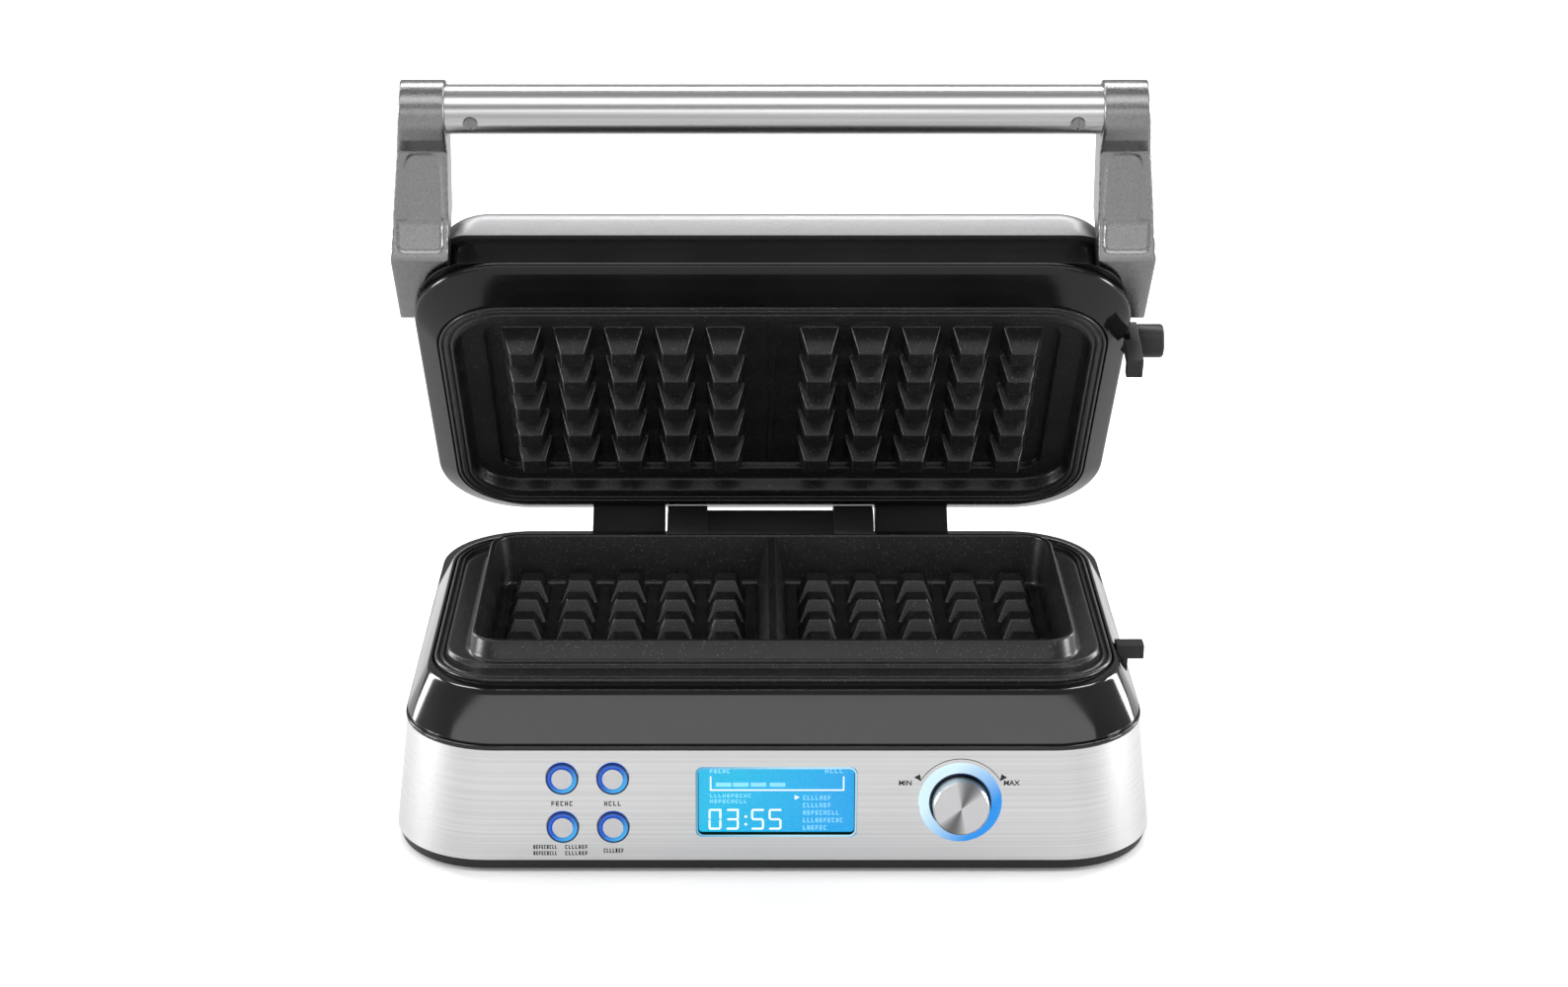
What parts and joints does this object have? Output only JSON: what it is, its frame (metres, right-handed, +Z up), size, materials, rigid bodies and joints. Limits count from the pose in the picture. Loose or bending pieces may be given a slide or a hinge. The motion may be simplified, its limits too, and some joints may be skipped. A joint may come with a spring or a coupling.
{
  "type": "waffle maker",
  "caption": "Two-square waffle maker: steel-banded base with buttons, display and dial, pegged cooking plates, hinged lid with bar handle and side latch.",
  "frame": {"origin": "on the table, under the middle of the base's footprint", "axes": "+Z up, -Y towards the user and the control panel, +X to the user's right; the lid is open at rest"},
  "size_m": [0.3139, 0.242, 0.2928],
  "materials": {
    "black_moulding": "matte moulded",
    "black_gloss": "high gloss",
    "rubber": "matte",
    "brushed_steel": "horizontal brushed grain",
    "satin_alloy": "satin cast",
    "brushed_alloy": "spun face",
    "bright_metal": "plated",
    "cooking_coating": "speckled non-stick coating",
    "heater_metal": "heat-tinted sheath",
    "sheet_alloy": "plain sheet",
    "circuit_board": "solder resist",
    "component_body": "moulded",
    "terminal_white": "moulded",
    "brass_metal": "turned",
    "blue_light": "lit diffuser",
    "display_glass": "clear window",
    "display_blue": "backlit panel"
  },
  "bodies": {
    "base": {"base_tray": "black_moulding", "rubber_feet": "rubber", "tray_screws": "bright_metal", "steel_band": "brushed_steel", "base_collar": "black_gloss", "hinge_housing": "black_gloss", "hinge_pins": "bright_metal", "hinge_washers": "bright_metal", "cord_gland": "rubber", "gland_nut": "black_moulding", "terminal_block": "terminal_white", "lower_plate": "cooking_coating", "lower_heater": "heater_metal", "lower_thermostat": "bright_metal", "lower_reflector": "sheet_alloy", "lower_plate_screws": "bright_metal", "latch_catch": "black_moulding", "button_rings": "blue_light", "tact_switches": "component_body", "control_board": "circuit_board", "board_spacers": "brass_metal", "display_window": "display_glass", "display_panel": "display_blue", "display_holder": "component_body", "knob_light_ring": "blue_light", "encoder": "bright_metal", "buzzer": "component_body", "power_board": "circuit_board", "power_parts": "component_body"},
    "lid": {"lid_bezel": "black_gloss", "lid_shell": "black_gloss", "lid_cover": "brushed_steel", "upper_plate": "cooking_coating", "upper_plate_screws": "bright_metal", "upper_heater": "heater_metal", "upper_reflector": "sheet_alloy", "upper_thermostat": "bright_metal", "left_hinge_arm": "black_moulding", "right_hinge_arm": "black_moulding", "hinge_arm_screws": "bright_metal", "left_handle_arm": "satin_alloy", "right_handle_arm": "satin_alloy", "handle_bar": "brushed_steel", "handle_bar_screws": "bright_metal", "handle_arm_screws": "bright_metal", "latch_bracket": "black_moulding", "latch_pin": "bright_metal"},
    "latch": {"latch_lever": "black_moulding", "latch_knob": "black_moulding"},
    "knob": {"browning_knob": "brushed_alloy", "knob_shaft": "bright_metal"},
    "power_key": {"power_button": "brushed_alloy"},
    "menu_key": {"menu_button": "brushed_alloy"},
    "texture_key": {"texture_button": "brushed_alloy"},
    "restart_key": {"restart_button": "brushed_alloy"}
  },
  "joints": [
    {"name": "lid_hinge", "type": "hinge", "parent": "base", "child": "lid", "pos_m": [0, 0.0753, 0.0553], "axis": [-1, 0, 0], "range_deg": [-52, 33]},
    {"name": "latch_turn", "type": "hinge", "parent": "lid", "child": "latch", "pos_m": [0.148, 0.02322, 0.17359], "axis": [1, 0, 0], "range_deg": [0, 22]},
    {"name": "knob_turn", "type": "hinge", "parent": "base", "child": "knob", "pos_m": [0.07219, -0.11458, 0.0304], "axis": [0, -0.9949, 0.1006], "range_deg": [-55, 55]},
    {"name": "power_press", "type": "slide", "parent": "base", "child": "power_key", "axis": [0, 0.9949, -0.1006], "range_m": [0, 0.0012], "stiffness_N_per_m": 400},
    {"name": "menu_press", "type": "slide", "parent": "base", "child": "menu_key", "axis": [0, 0.9949, -0.1006], "range_m": [0, 0.0012], "stiffness_N_per_m": 400},
    {"name": "texture_press", "type": "slide", "parent": "base", "child": "texture_key", "axis": [0, 0.9949, -0.1006], "range_m": [0, 0.0012], "stiffness_N_per_m": 400},
    {"name": "restart_press", "type": "slide", "parent": "base", "child": "restart_key", "axis": [0, 0.9949, -0.1006], "range_m": [0, 0.0012], "stiffness_N_per_m": 400}
  ]
}
